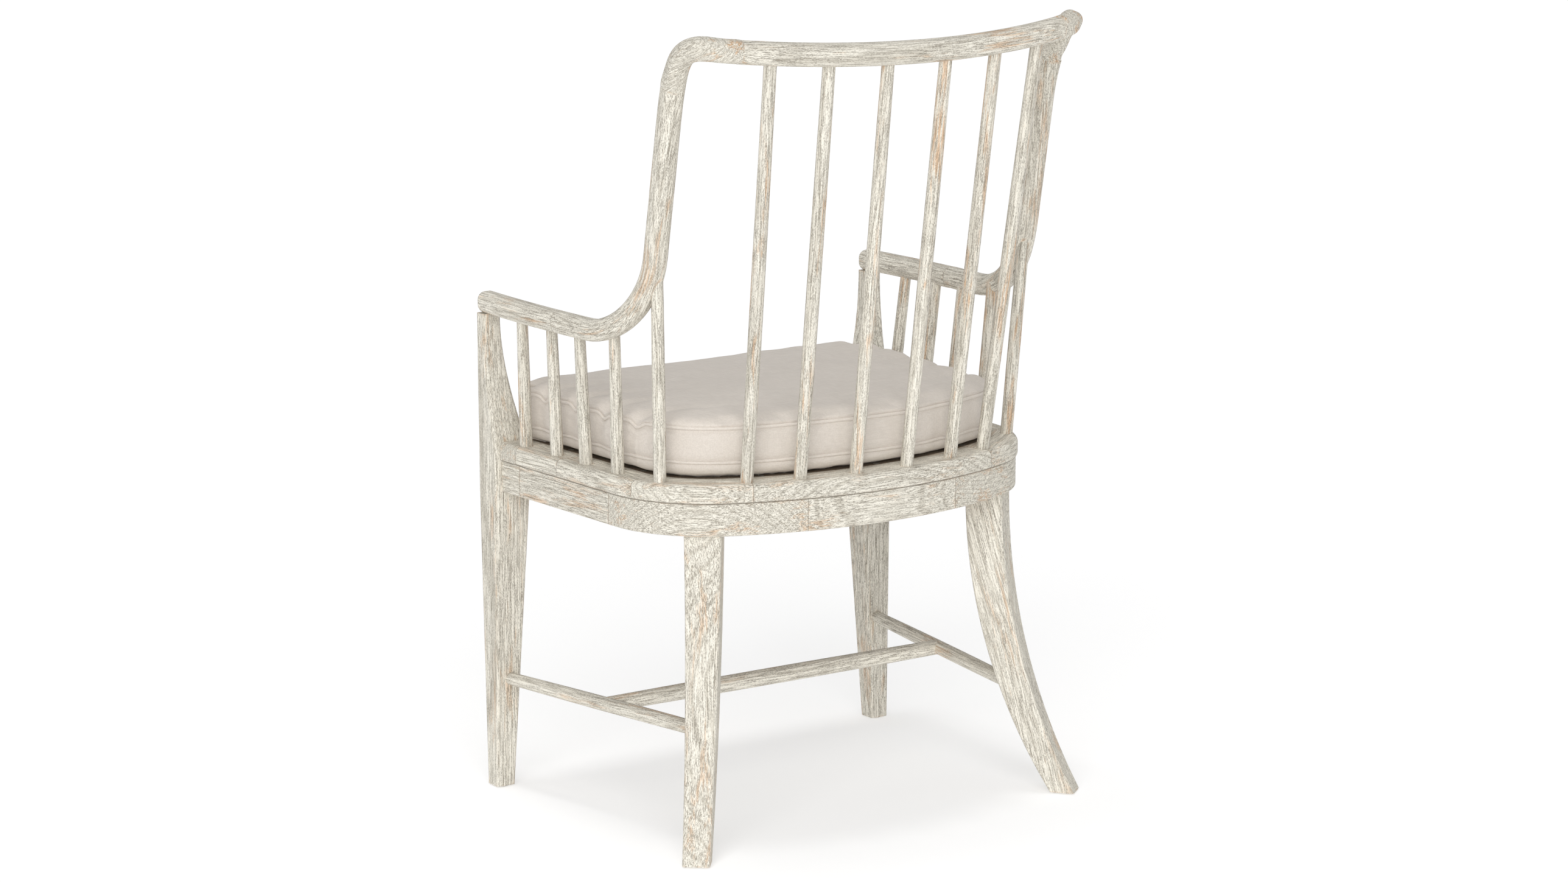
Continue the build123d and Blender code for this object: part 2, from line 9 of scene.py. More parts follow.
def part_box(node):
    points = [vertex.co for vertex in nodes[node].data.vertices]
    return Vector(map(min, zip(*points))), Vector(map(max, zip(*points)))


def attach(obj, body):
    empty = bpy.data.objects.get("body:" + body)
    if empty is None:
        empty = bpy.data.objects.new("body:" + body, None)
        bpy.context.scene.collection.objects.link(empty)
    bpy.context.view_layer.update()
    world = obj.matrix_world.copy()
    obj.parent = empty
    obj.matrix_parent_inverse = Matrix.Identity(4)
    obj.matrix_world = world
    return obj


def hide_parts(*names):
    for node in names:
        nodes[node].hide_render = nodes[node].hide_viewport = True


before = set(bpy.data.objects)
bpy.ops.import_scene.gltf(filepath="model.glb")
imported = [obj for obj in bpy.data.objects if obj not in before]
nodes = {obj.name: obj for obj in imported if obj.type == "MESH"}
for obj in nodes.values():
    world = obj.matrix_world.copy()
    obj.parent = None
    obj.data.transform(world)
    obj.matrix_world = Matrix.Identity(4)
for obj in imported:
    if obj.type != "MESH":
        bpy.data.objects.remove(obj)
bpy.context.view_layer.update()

scene = bpy.context.scene
cad_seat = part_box("seat_cushion")

# ---------------------------------------------------------------- driving values

CAMERA_AZIMUTH = 145.37
CAMERA_ELEVATION = 11.49
CAMERA_DISTANCE = 5.440
CAMERA_AIM = (0.0, -0.0295, 0.4549)
CAMERA_LENS = 98.25
SENSOR_WIDTH = 36.0

WORLD_LIGHT = 0.40
KEY_LIGHT = 1.78
KEY_TURN = 141.0
KEY_RISE = 24.0
KEY_SOFTNESS = 50.0
TOP_LIGHT = 0.62
TOP_TURN = 60.0
TOP_RISE = 86.0
TOP_SOFTNESS = 11.0
FLOOR_HALF = 60.0
FLOOR_DIFFUSE = 0.70
FLOOR_GLOW = 0.45

CREAM = (0.870, 0.832, 0.735)
STREAK = (0.520, 0.480, 0.400)
PORE = (0.200, 0.170, 0.130)
RUB = (0.680, 0.440, 0.260)
WHITEWASH = (CREAM, STREAK, PORE, RUB)
LINEN = (0.765, 0.706, 0.640)
LINEN_DARK = (0.640, 0.582, 0.520)
PLYWOOD = ((0.22, 0.17, 0.12), (0.17, 0.13, 0.09), (0.08, 0.06, 0.04), (0.20, 0.14, 0.09))
BLOCK_WOOD = ((0.56, 0.38, 0.24), (0.46, 0.30, 0.18), (0.24, 0.14, 0.08), (0.50, 0.31, 0.18))
ZINC = (0.62, 0.62, 0.60)
ZINC_DARK = (0.44, 0.43, 0.40)
NYLON = (0.62, 0.60, 0.56)
NYLON_DARK = (0.50, 0.48, 0.44)

# Shares of each part of the whitewash, and the sizes of its marks as noise scales per metre
FIBRE_WANDER = 0.012
PORE_LINES = 1050.0
PORE_DASHES = 1500.0
PORE_ROUGHNESS = 0.24
BAND_LINES = 380.0
BAND_SHARE = 0.42
PATCH_SCALE = 26.0
PITH_OFFSET = (0.067, 0.041, 0.0)
RING_SPACING = 0.0052
RING_SWELL = 0.010
RING_SHARE = 0.48
RUB_PATCHES = 62.0
RUB_LINES = 420.0
EDGE_RADIUS = 0.0045
EDGE_SCUFFS = 75.0
EDGE_SHARE = 0.55
# How dark the glue lines and the painted shade along the ring's lower seam are
SEAM_SHADE_AND_GLUE_SHARE = 0.75
WASH_ROUGHNESS = 0.62
WOOD_BUMP = 0.00035
ZINC_BUMP = 0.00006
NYLON_BUMP = 0.0001
LINEN_BUMP = 0.00025
TONE_LOW = 0.97
TONE_SPREAD = 0.06
HIDDEN_RUB = 0.3
PLAIN_RUB = 0.55
CREST_RUB = 0.75
POST_RUB = 0.6

# Which way the grain runs, by the start of a name; every other piece goes by its longest direction
GRAIN_AXES = {
    "ring_front": (1, 0, 0),
    "ring_back": (1, 0, 0),
    "apron_front": (1, 0, 0),
    "apron_back": (1, 0, 0),
    "ring_side": (0, 1, 0),
    "apron_side": (0, 1, 0),
    "apron_block": (0, 1, 0),
    "front_leg": (0, 0, 1),
}
RUB_SHARES = {"crest": 0.85, "ring": 0.40, "apron": 0.60, "arm_rail": 0.70, "spindle": 0.80}

# Rails whose grain follows a bend, the number of the first, and the bend of the back posts
BENT = ("back_post_left", "back_post_right", "crest_rail")
FIRST_BENT = 101
RAIL_HALF = 0.01375
POST_LEAN = 10.4
BEND_RADIUS = 0.125
BEND_STEPS = 14
CREST_SLICES = 12
SLICE_OVERLAP = 0.004
POST_TOP = 0.02
POST_START = 0.01
FAR_AWAY = 1e9
TIE = 1e-9

RING_SEAM = 0.432
ARM_JOINT = -0.079
RING_JOINTS = (-0.188, -0.095, 0.063)
APRON_JOINTS = (-0.183, 0.016)
RING_BACK_JOINT = 0.180
APRON_BACK_JOINT = 0.112
BACK_RADIUS = 0.532
BOW_CENTRE = -0.3352
# Width of the painted shade along the ring's lower seam, width of the glue lines, and how near a glue joint
# must be
SEAM_SHADE_WIDTH = 0.0016
JOINT_LINE = 0.0006
JOINT_REACH = 0.0002

CUSHION_VOXEL = 0.005
CUSHION_SHRINK = 0.0025
CUSHION_PRESSURE = 4.0
CUSHION_FRAMES = 20
CUSHION_CAP = 0.006
LOWER_SEAM = 0.4755
UPPER_SEAM = 0.5180
SEAM_DEPTH = 0.0030
SEAM_WIDTH = 0.0045
WELT_RADIUS = 0.0021
PUCKER = 0.0018
PUCKER_REACH = 0.013
CREASE = 0.0125
CREASE_WIDTH = 0.0100
CREASE_LENGTH = 0.040
CREASE_SLANT = 0.35
BULGE = 0.0050
BOTTOM_TUCK = 0.010
CROWN = 0.0040
CORNER_DROP = 0.0060
CORNER_PULL = 0.0030
SPINDLE_GAP = 0.0012
SPINDLE_DENT = 0.0022
SPINDLE_REACH = 0.012
SPINDLE_RADIUS = 0.0085
SPINDLE_END = 0.03
FOOT_LOW = 0.50
FOOT_HIGH = 0.56
WANDER = 0.0014
WANDER_SCALE = 8.0
WANDER_SLICE = 3.7
CLOTH_TENSION = 25.0
CLOTH_BENDING = 2.0
UPRIGHT_LOW = 0.35
UPRIGHT_HIGH = 0.8
CROWN_POWER = 2.6
EDGE_EASE = 0.004
CORNER_START = 0.55
PUFF = 0.0009
PUFF_SCALE = 17.0
PUFF_FINE_SCALE = 41.0
PUCKER_SCALE = 33.0
PUCKER_STRETCH = 6.0
BULGE_GAP = 0.022
BULGE_REACH = 0.06
FOLD_START = -0.02
ARM_SIDE_START = 0.24
ARM_SIDE_FULL = 0.27
ARM_SIDE_BACK = 0.03
WELT_STEP = 0.004
WELT_SMOOTHING = 6
WELT_SIDES = 10
WELT_PROUD = 0.35
WELT_SHADE = 1.04
LOOP_LIMIT = 20000

THREAD_WAVE = (7400, 7400, 7400)
THREAD_DRIFT = (0.0022, 0.0022, 0.0022)
DRIFT_SCALE = 22.0
SLUB_SCALE = 800.0
SLUB_STRETCHES = ((0.06, 1, 1), (1, 0.06, 0.6))
SLUB_SHARE = 0.55
WEAVE_SHARE = 0.30
CLOUD_SCALE = 9.0
CLOUD_SHARE = 0.12


# ---------------------------------------------------------------- node helpers

class Tree:
    """A short way to write shader nodes."""

    def __init__(self, tree):
        self.tree = tree

    def add(self, kind, links=None, **values):
        node = self.tree.nodes.new(kind)
        for key, value in values.items():
            setattr(node, key, value)
        for key, value in (links or {}).items():
            socket = node.inputs[key]
            if isinstance(value, bpy.types.NodeSocket):
                self.tree.links.new(value, socket)
            else:
                socket.default_value = value
        return node

    def math(self, operation, a, b=0.0):
        return self.add("ShaderNodeMath", {0: a, 1: b}, operation=operation).outputs[0]

    def vector(self, operation, a, b=(0, 0, 0)):
        return self.add("ShaderNodeVectorMath", {0: a, 1: b}, operation=operation).outputs[0]

    def ramp(self, value, low, high, start=0.0, end=1.0):
        links = {"Value": value, "From Min": low, "From Max": high, "To Min": start, "To Max": end}
        return self.add("ShaderNodeMapRange", links, interpolation_type="SMOOTHSTEP").outputs[0]

    def noise(self, vector, scale, detail=2.0, roughness=0.5, warp=0.0):
        links = {"Vector": vector, "Scale": scale, "Detail": detail, "Roughness": roughness}
        links["Distortion"] = warp
        return self.add("ShaderNodeTexNoise", links, noise_dimensions="3D").outputs["Fac"]

    def stretched(self, vector, share):
        """Coordinates whose marks are drawn out along Z."""
        return self.vector("MULTIPLY", vector, (1, 1, share))

    def mix(self, amount, a, b):
        node = self.add("ShaderNodeMix", data_type="RGBA")
        for index, value in ((0, amount), (6, a), (7, b)):
            socket = node.inputs[index]
            if isinstance(value, bpy.types.NodeSocket):
                self.tree.links.new(value, socket)
            elif index == 0:
                socket.default_value = value
            else:
                socket.default_value = (*value, 1.0)
        return node.outputs[2]


def wood_group():
    """Wire-brushed, whitewashed open grain. Grain's Z runs along the wood, in metres."""
    group = bpy.data.node_groups.new("whitewashed_grain", "ShaderNodeTree")
    face = group.interface
    face.new_socket("Grain", in_out="INPUT", socket_type="NodeSocketVector")
    for name in ("Base", "Streak", "Pore", "Rub"):
        face.new_socket(name, in_out="INPUT", socket_type="NodeSocketColor")
    # Seam carries the dark glue lines and the painted shade along the ring's lower seam
    for name in ("Rub Amount", "Tone", "Seam"):
        face.new_socket(name, in_out="INPUT", socket_type="NodeSocketFloat")
    face.new_socket("Color", in_out="OUTPUT", socket_type="NodeSocketColor")
    face.new_socket("Roughness", in_out="OUTPUT", socket_type="NodeSocketFloat")
    face.new_socket("Height", in_out="OUTPUT", socket_type="NodeSocketFloat")
    t = Tree(group)
    given = t.add("NodeGroupInput").outputs
    grain = given["Grain"]

    # Slow wander of the fibres, so that no line is ruler straight
    long_grain = t.stretched(grain, 0.35)
    bend = t.add("ShaderNodeTexNoise", {"Vector": long_grain, "Scale": 9.0, "Detail": 1.0}).outputs["Color"]
    centred = t.vector("SUBTRACT", bend, (0.5, 0.5, 0.5))
    fibre = t.vector("ADD", grain, t.vector("MULTIPLY", centred, (FIBRE_WANDER, FIBRE_WANDER, 0.0)))

    # Open pores: long recessed lines about a millimetre apart, broken by short dashes
    fine = t.noise(t.stretched(fibre, 0.030), PORE_LINES, 2.5, 0.62)
    short = t.noise(t.stretched(fibre, 0.26), PORE_DASHES, 1.5, 0.55)
    both = t.math("ADD", t.math("MULTIPLY", fine, 0.60), t.math("MULTIPLY", short, 0.40))
    pores = t.ramp(both, 0.48, 0.60)

    # Growth rings round a far pith, which make arches where a surface is sawn across them
    flat = t.stretched(t.vector("ADD", fibre, PITH_OFFSET), 0.022)
    radius = t.add("ShaderNodeVectorMath", {0: flat}, operation="LENGTH").outputs["Value"]
    swell = t.math("MULTIPLY", t.noise(t.stretched(grain, 0.25), 22.0, 2.0), RING_SWELL)
    turns = t.math("MULTIPLY", t.math("ADD", radius, swell), 2 * math.pi / RING_SPACING)
    rings = t.ramp(t.math("SINE", turns), 0.45, 1.0)

    # Broad bands of thicker and thinner whitewash
    bands = t.ramp(t.noise(t.stretched(fibre, 0.014), BAND_LINES, 3.0, 0.6), 0.42, 0.62)
    patches = t.ramp(t.noise(t.stretched(grain, 0.3), PATCH_SCALE, 3.0, 0.6), 0.40, 0.68)
    colour = t.mix(t.math("MULTIPLY", bands, BAND_SHARE), given["Base"], given["Streak"])
    colour = t.mix(t.math("MULTIPLY", rings, RING_SHARE), colour, given["Streak"])

    # Tan wood where the wash is rubbed through
    rubbed = t.ramp(t.noise(t.stretched(grain, 0.13), RUB_PATCHES, 4.0, 0.65, 0.4), 0.52, 0.64)
    broken = t.ramp(t.noise(t.stretched(fibre, 0.05), RUB_LINES, 2.0, 0.6), 0.38, 0.58)
    rub = t.math("MULTIPLY", t.math("MULTIPLY", rubbed, broken), given["Rub Amount"])

    # Wear along the eased edges
    soft = t.add("ShaderNodeBevel", {"Radius": EDGE_RADIUS}, samples=4).outputs[0]
    straight = t.add("ShaderNodeNewGeometry").outputs["Normal"]
    facing = t.add("ShaderNodeVectorMath", {0: soft, 1: straight}, operation="DOT_PRODUCT").outputs["Value"]
    edge = t.ramp(facing, 0.985, 0.86)
    scuffed = t.ramp(t.noise(t.stretched(grain, 0.4), EDGE_SCUFFS, 3.0, 0.6), 0.46, 0.60)
    worn = t.math("MULTIPLY", t.math("MULTIPLY", edge, scuffed), EDGE_SHARE)
    colour = t.mix(t.math("MAXIMUM", rub, worn), colour, given["Rub"])

    # Dark pores, dark glue lines and painted shade in the ring's lower seam over all of it, and the piece's
    # own tone
    depth = t.math("MULTIPLY", pores, t.ramp(patches, 0.0, 1.0, 0.74, 0.52))
    colour = t.mix(depth, colour, given["Pore"])
    # Painted shade in the groove under the ring, and dark glue lines, both in the pore colour
    colour = t.mix(t.math("MULTIPLY", given["Seam"], SEAM_SHADE_AND_GLUE_SHARE), colour, given["Pore"])
    scale = {0: colour, "Scale": given["Tone"]}
    toned = t.add("ShaderNodeVectorMath", scale, operation="SCALE").outputs[0]

    hollow = t.math("ADD", t.math("MULTIPLY", pores, 0.8), t.math("MULTIPLY", rings, 0.2))
    height = t.math("SUBTRACT", 1.0, hollow)
    rough = t.math("ADD", WASH_ROUGHNESS, t.math("MULTIPLY", pores, PORE_ROUGHNESS))
    t.add("NodeGroupOutput", {"Color": toned, "Roughness": rough, "Height": height})
    return group


WOOD = wood_group()


def new_material(name):
    material = bpy.data.materials.new(name)
    material.use_nodes = True
    tree = material.node_tree
    tree.nodes.clear()
    return material, Tree(tree)


def finish_material(t, colour, roughness, height, bump, specular=0.35, metallic=0.0, sheen=0.0):
    """Principled surface with a bump; every plain value sits on the shader's own socket."""
    normal = t.add("ShaderNodeBump", {"Strength": 1.0, "Distance": bump, "Height": height}).outputs[0]
    links = {"Base Color": colour, "Roughness": roughness, "Normal": normal}
    shader = t.add("ShaderNodeBsdfPrincipled", links)
    shader.inputs["Specular IOR Level"].default_value = specular
    shader.inputs["Metallic"].default_value = metallic
    shader.inputs["Sheen Weight"].default_value = sheen
    t.add("ShaderNodeOutputMaterial", {"Surface": shader.outputs[0]})


def seam_shade_and_glue_mask(t, planes):
    """1 on the thin lines where a piece meets its neighbours, given as planes (x, y, z, offset): dark glue
    lines on upright planes, painted shade along the level seam under the ring.
    """
    place = t.add("ShaderNodeTexCoord").outputs["Object"]
    mask = 0.0
    for *way, offset in planes:
        dot = t.add("ShaderNodeVectorMath", {0: place, 1: way}, operation="DOT_PRODUCT")
        far = t.math("ABSOLUTE", t.math("SUBTRACT", dot.outputs["Value"], offset))
        width = SEAM_SHADE_WIDTH if way[2] else JOINT_LINE
        mask = t.math("MAXIMUM", mask, t.ramp(far, width, 0.25 * width))
    return mask


def wood_material(
    name, axis, number, colours=WHITEWASH, rub=PLAIN_RUB, tone=1.0, follows=False, planes=(),
):
    """Wood whose grain runs along `axis`, or along the piece's own `grain` attribute."""
    material, t = new_material(name)
    if follows:
        place = t.add("ShaderNodeAttribute", attribute_name="grain").outputs["Vector"]
    else:
        place = t.add("ShaderNodeTexCoord").outputs["Object"]
    turn = Vector(axis).rotation_difference(Vector((0, 0, 1))).to_euler()
    shift = (0.37 * number % 1.9, 0.61 * number % 2.3, 0.83 * number % 2.9)
    grain = t.add("ShaderNodeMapping", {"Vector": place, "Rotation": turn, "Location": shift}).outputs[0]
    group = t.add("ShaderNodeGroup", node_tree=WOOD)
    for key, value in zip(("Base", "Streak", "Pore", "Rub"), colours):
        group.inputs[key].default_value = (*value, 1.0)
    group.inputs["Rub Amount"].default_value = rub
    group.inputs["Tone"].default_value = tone
    group.inputs["Seam"].default_value = 0.0
    # Seam: dark glue lines, and painted shade along the ring's lower seam
    if planes:
        t.tree.links.new(seam_shade_and_glue_mask(t, planes), group.inputs["Seam"])
    t.tree.links.new(grain, group.inputs["Grain"])
    out = group.outputs
    finish_material(t, out["Color"], out["Roughness"], out["Height"], WOOD_BUMP)
    return material


# ---------------------------------------------------------------- wooden pieces

def points(mesh):
    found = np.zeros(len(mesh.vertices) * 3)
    mesh.vertices.foreach_get("co", found)
    return found.reshape(-1, 3)


def main_axis(mesh):
    """Longest direction of a mesh, weighted by the area of its faces."""
    centres = np.zeros(len(mesh.polygons) * 3)
    mesh.polygons.foreach_get("center", centres)
    areas = np.zeros(len(mesh.polygons))
    mesh.polygons.foreach_get("area", areas)
    centres = centres.reshape(-1, 3)
    middle = (centres * areas[:, None]).sum(0) / areas.sum()
    offset = centres - middle
    spread = (offset * areas[:, None]).T @ offset
    axis = np.linalg.eigh(spread)[1][:, -1]
    return axis * np.sign(axis[np.argmax(np.abs(axis))])


def give(obj, material):
    """Puts one material in every slot of an object."""
    if not obj.material_slots:
        obj.data.materials.append(material)
    for place in obj.material_slots:
        place.material = material


def joint_planes(name):
    """The glue joints that a piece reaches, and for ring and apron the ring's lower seam, where shade is
    painted into the groove.
    """
    if name.startswith(("arm_rail", "back_post")):
        return [(0.0, 1.0, 0.0, ARM_JOINT)]
    if not name.startswith(("ring", "apron")):
        return []
    in_ring = name.startswith("ring")
    half = RING_BACK_JOINT if in_ring else APRON_BACK_JOINT
    lean = half / BACK_RADIUS
    planes = [(0.0, 1.0, 0.0, y) for y in (RING_JOINTS if in_ring else APRON_JOINTS)]
    for sign in (1, -1):
        planes.append((sign * math.sqrt(1 - lean ** 2), -lean, 0.0, -lean * BOW_CENTRE))
    co = points(nodes[name].data)
    # The ring's lower seam is always kept: shade is painted into its groove
    reached = [(0.0, 0.0, 1.0, RING_SEAM)]
    for *way, offset in planes:
        if np.abs(co @ np.array(way) - offset).min() < JOINT_REACH:
            reached.append((*way, offset))
    return reached


def wood_pieces():
    """A material of its own for every wooden node that keeps its CAD shape."""
    for number, name in enumerate(sorted(nodes), 1):
        if name in BENT or name in ("seat_cushion", "panel_screws", "block_screws", "glides"):
            continue
        axis = next((a for key, a in GRAIN_AXES.items() if name.startswith(key)), None)
        if axis is None:
            axis = main_axis(nodes[name].data)
        rub = next((share for key, share in RUB_SHARES.items() if key in name), PLAIN_RUB)
        tone = TONE_LOW + TONE_SPREAD * (0.618 * number % 1.0)
        if name == "seat_panel":
            material = wood_material(name, (1, 0, 0), number, PLYWOOD, HIDDEN_RUB, tone)
        elif name.startswith("corner_block"):
            material = wood_material(name, axis, number, BLOCK_WOOD, HIDDEN_RUB, tone)
        else:
            planes = joint_planes(name)
            material = wood_material(name, axis, number, rub=rub, tone=tone, planes=planes)
        give(nodes[name], material)


def bent_piece(name, number):
    """Copy of a bent rail with grain coordinates that follow its bend."""
    source = nodes[name]
    piece = bpy.data.objects.new(name + "_grained", source.data.copy())
    scene.collection.objects.link(piece)
    co = points(piece.data)
    line = bend_path(name, co)
    steps = np.linalg.norm(np.diff(line, axis=0), axis=1)
    length = np.concatenate([[0.0], np.cumsum(steps)])
    grain = np.zeros_like(co)
    side = np.array((0.0, 0.0, 1.0)) if name == "crest_rail" else np.array((1.0, 0.0, 0.0))
    best = np.full(len(co), FAR_AWAY)
    for start, end, done in zip(line[:-1], line[1:], length[:-1]):
        way = end - start
        size = np.linalg.norm(way)
        way = way / size
        part = np.clip((co - start) @ way, 0, size)
        foot = start + part[:, None] * way
        off = co - foot
        far = np.linalg.norm(off, axis=1)
        across = side - (side @ way) * way
        across = across / np.linalg.norm(across)
        other = np.cross(way, across)
        nearer = far < best - TIE
        best = np.where(nearer, far, best)
        made = np.stack([off @ across, off @ other, done + part], axis=1)
        grain[nearer] = made[nearer]
    attribute = piece.data.attributes.new("grain", "FLOAT_VECTOR", "POINT")
    attribute.data.foreach_set("vector", grain.astype(np.float32).ravel())
    piece.data.materials.clear()
    rub = CREST_RUB if name == "crest_rail" else POST_RUB
    planes = joint_planes(name)
    give(piece, wood_material(piece.name, (0, 0, 1), number, rub=rub, follows=True, planes=planes))
    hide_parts(name)
    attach(piece, "chair")


def bend_path(name, co):
    """Centreline of a bent rail: the crest by slices of x; a post along its arm, bend and rise."""
    if name == "crest_rail":
        edges = np.linspace(co[:, 0].min(), co[:, 0].max(), CREST_SLICES + 1)
        line = []
        for low, high in zip(edges[:-1], edges[1:]):
            inside = co[(co[:, 0] >= low - SLICE_OVERLAP) & (co[:, 0] <= high + SLICE_OVERLAP)]
            line.append((inside.min(0) + inside.max(0)) / 2)
        line[0][0] = co[:, 0].min()
        line[-1][0] = co[:, 0].max()
        return np.array(line)
    arm_z = co[:, 2].min() + RAIL_HALF
    start_y = co[:, 1].min()
    top = co[co[:, 2] > co[:, 2].max() - POST_TOP]
    top_y = (top[:, 1].min() + top[:, 1].max()) / 2
    top_x = (top[:, 0].min() + top[:, 0].max()) / 2
    begin = co[co[:, 1] < start_y + POST_START]
    begin_x = (begin[:, 0].min() + begin[:, 0].max()) / 2
    top_z = co[:, 2].max()
    lean = math.radians(POST_LEAN)
    turn = math.pi / 2 - lean
    foot_y = top_y - (top_z - arm_z) * math.tan(lean)
    bend_y = foot_y - BEND_RADIUS * math.tan(turn / 2)
    line = [(begin_x, start_y, arm_z)]
    for step in range(BEND_STEPS + 1):
        angle = turn * step / BEND_STEPS
        y = bend_y + BEND_RADIUS * math.sin(angle)
        z = arm_z + BEND_RADIUS * (1 - math.cos(angle))
        line.append((begin_x, y, z))
    line.append((top_x, top_y, top_z))
    line = np.array(line)
    rise = np.clip((line[:, 2] - arm_z) / (top_z - arm_z), 0, 1)
    line[:, 0] = begin_x + (top_x - begin_x) * rise
    return line


def fixings():
    """Zinc screws and nylon glides, hidden inside and under the seat."""
    for name in ("panel_screws", "block_screws"):
        material, t = new_material(name)
        place = t.add("ShaderNodeTexCoord").outputs["Object"]
        grit = t.noise(place, 900.0, 3.0, 0.6)
        colour = t.mix(t.ramp(grit, 0.35, 0.65), ZINC, ZINC_DARK)
        rough = t.math("ADD", 0.28, t.math("MULTIPLY", grit, 0.25))
        finish_material(t, colour, rough, grit, ZINC_BUMP, specular=0.5, metallic=1.0)
        give(nodes[name], material)
    material, t = new_material("glides")
    place = t.add("ShaderNodeTexCoord").outputs["Object"]
    grit = t.noise(place, 600.0, 2.0, 0.6)
    colour = t.mix(t.ramp(grit, 0.3, 0.7), NYLON, NYLON_DARK)
    rough = t.math("ADD", 0.45, t.math("MULTIPLY", grit, 0.2))
    finish_material(t, colour, rough, grit, NYLON_BUMP)
    give(nodes["glides"], material)


# ---------------------------------------------------------------- cushion

def linen_material(name, shade=1.0):
    """Plain weave: crossing threads with slubs, soft mottling and a light sheen."""
    material, t = new_material(name)
    place = t.add("ShaderNodeTexCoord").outputs["Object"]
    slow = {"Vector": place, "Scale": DRIFT_SCALE, "Detail": 2.0}
    drift = t.add("ShaderNodeTexNoise", slow).outputs["Color"]
    shifted = t.vector("ADD", place, t.vector("MULTIPLY", drift, THREAD_DRIFT))
    thread = t.vector("SINE", t.vector("MULTIPLY", shifted, THREAD_WAVE))
    split = t.add("ShaderNodeSeparateXYZ", {0: thread}).outputs
    weave = t.math("ADD", t.math("ADD", split[0], split[1]), split[2])
    weave = t.ramp(weave, -2.2, 2.2)
    slubs = [
        t.noise(t.vector("MULTIPLY", shifted, stretch), SLUB_SCALE, 2.0, 0.6)
        for stretch in SLUB_STRETCHES
    ]
    slub = t.ramp(t.math("MULTIPLY", t.math("ADD", *slubs), 0.5), 0.40, 0.60)
    cloud = t.ramp(t.noise(place, CLOUD_SCALE, 3.0, 0.55), 0.35, 0.65)
    light = tuple(c * shade for c in LINEN)
    dark = tuple(c * shade for c in LINEN_DARK)
    colour = t.mix(t.math("MULTIPLY", slub, SLUB_SHARE), light, dark)
    colour = t.mix(t.math("MULTIPLY", weave, WEAVE_SHARE), colour, dark)
    colour = t.mix(t.math("MULTIPLY", cloud, CLOUD_SHARE), colour, dark)
    height = t.math("ADD", t.math("MULTIPLY", weave, 0.6), t.math("MULTIPLY", slub, 0.4))
    rough = t.ramp(slub, 0, 1, 0.82, 0.92)
    finish_material(t, colour, rough, height, LINEN_BUMP, specular=0.2, sheen=0.25)
    return material


def smooth_step(value, low, high):
    part = np.clip((value - low) / (high - low), 0, 1)
    return part * part * (3 - 2 * part)


def cushion_mesh():
    """The CAD cushion, remeshed evenly and then shrunk a little."""
    body = bpy.data.objects.new("cushion", nodes["seat_cushion"].data.copy())
    scene.collection.objects.link(body)
    remesh = body.modifiers.new("even", "REMESH")
    remesh.mode = "VOXEL"
    remesh.voxel_size = CUSHION_VOXEL
    bake(body)
    mesh = body.data
    co = points(mesh)
    normal = vertex_normals(mesh)
    put(mesh, co - normal * CUSHION_SHRINK)
    return body


def bake(body):
    """Applies an object's modifiers by swapping in the evaluated mesh."""
    graph = bpy.context.evaluated_depsgraph_get()
    graph.update()
    made = bpy.data.meshes.new_from_object(body.evaluated_get(graph))
    body.modifiers.clear()
    body.data = made


def put(mesh, co):
    mesh.vertices.foreach_set("co", co.astype(np.float32).ravel())
    mesh.update()


def vertex_normals(mesh):
    found = np.zeros(len(mesh.vertices) * 3)
    mesh.vertices.foreach_get("normal", found)
    return found.reshape(-1, 3)


def side_share(mesh):
    """1 where a surface stands upright, 0 where it lies flat."""
    normal = vertex_normals(mesh)
    return smooth_step(np.hypot(normal[:, 0], normal[:, 1]), UPRIGHT_LOW, UPRIGHT_HIGH)


def inflate(body):
    """Blows the cushion up as cloth, and keeps every point within the cap of where it was."""
    rest = points(body.data)
    cloth = body.modifiers.new("fill", "CLOTH")
    cloth.settings.use_pressure = True
    cloth.settings.uniform_pressure_force = CUSHION_PRESSURE
    cloth.settings.effector_weights.gravity = 0.0
    cloth.settings.tension_stiffness = CLOTH_TENSION
    cloth.settings.compression_stiffness = CLOTH_TENSION
    cloth.settings.bending_stiffness = CLOTH_BENDING
    cloth.collision_settings.use_collision = False
    for step in range(1, CUSHION_FRAMES + 1):
        scene.frame_set(step)
    graph = bpy.context.evaluated_depsgraph_get()
    moved = points(body.evaluated_get(graph).data)
    body.modifiers.clear()
    scene.frame_set(1)
    shift = moved - rest
    size = np.linalg.norm(shift, axis=1)
    share = np.minimum(1.0, CUSHION_CAP / np.maximum(size, 1e-9))
    put(body.data, rest + shift * share[:, None])


